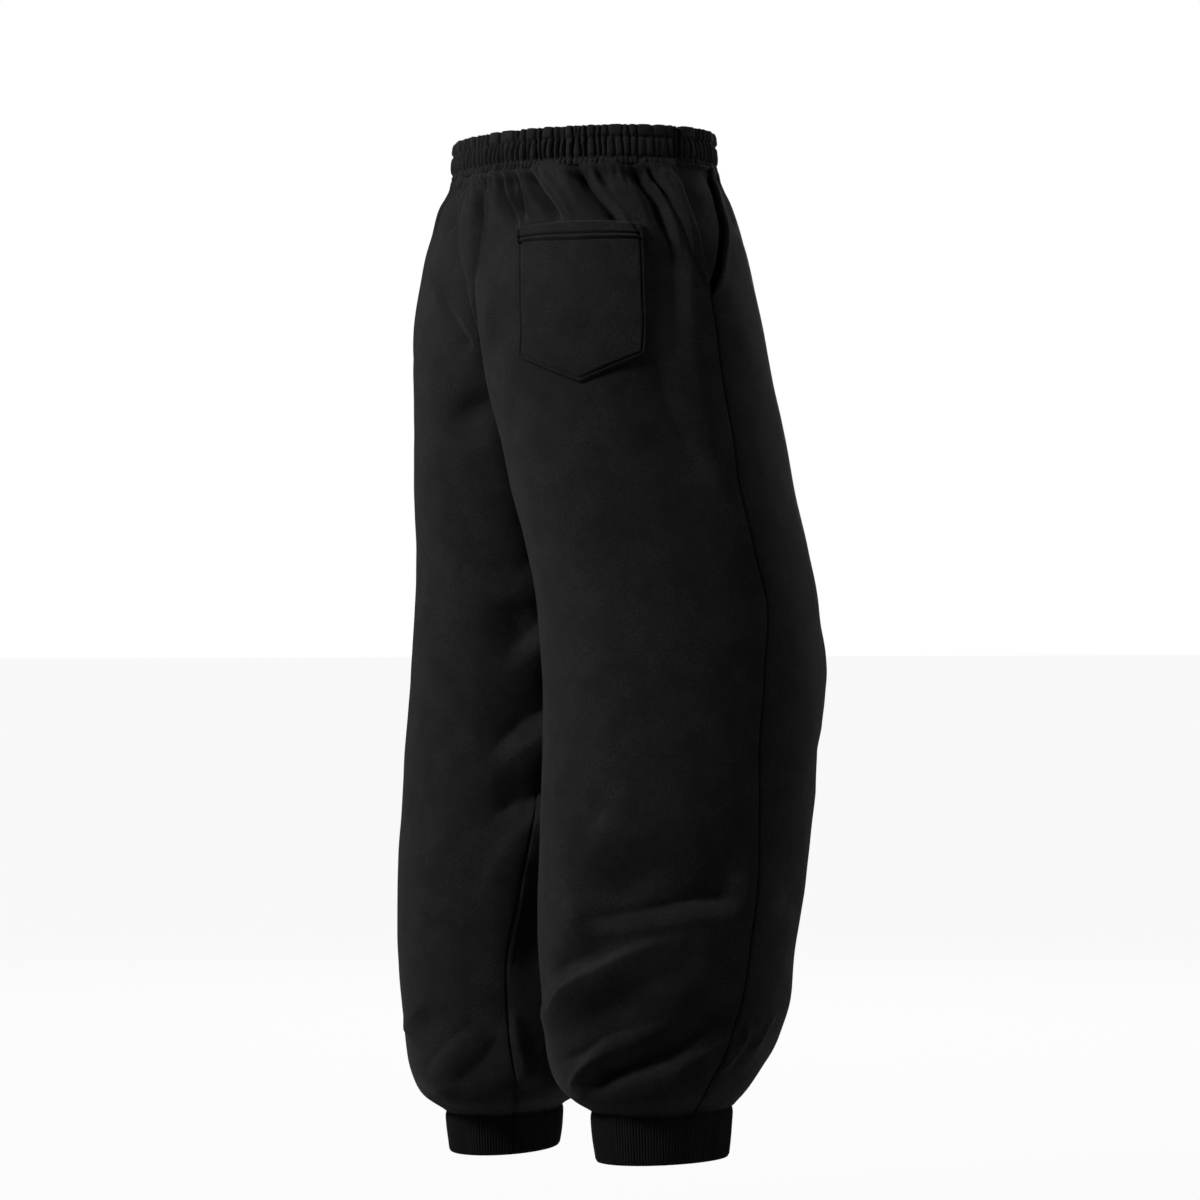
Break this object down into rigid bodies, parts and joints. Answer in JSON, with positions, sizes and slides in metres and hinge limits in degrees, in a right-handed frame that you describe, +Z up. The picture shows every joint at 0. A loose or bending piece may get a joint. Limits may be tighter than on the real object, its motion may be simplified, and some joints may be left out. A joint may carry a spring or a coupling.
{
  "type": "jogger sweatpants",
  "caption": "Balloon-leg fleece jogger sweatpants, worn open form: gathered elastic waist, slanted side pockets, back patch pocket and rib cuffs.",
  "frame": {"origin": "middle of the waistband's ring, half way up the band, where the wearer's waist holds the trousers", "axes": "+Z up through the waist opening, front of the trousers towards -Y, the wearer's right leg at -X"},
  "size_m": [0.4846, 0.3099, 0.9938],
  "materials": {
    "fleece": "heavy brushed cotton fleece, black, matt with a short nap and a faint grey sheen",
    "gathered_band": "the same black fleece gathered over elastic, two rows of stitching",
    "pocket_fleece": "the same black brushed fleece, flat, edge stitched",
    "rib_knit": "black fine vertical rib knit, matt"
  },
  "bodies": {
    "root": {"waistband": "gathered_band", "front_right": "fleece", "front_left": "fleece", "back_right": "fleece", "back_left": "fleece", "back_pocket": "pocket_fleece", "side_pocket_right": "pocket_fleece", "side_pocket_left": "pocket_fleece", "cuff_right": "rib_knit", "cuff_left": "rib_knit"}
  },
  "joints": []
}
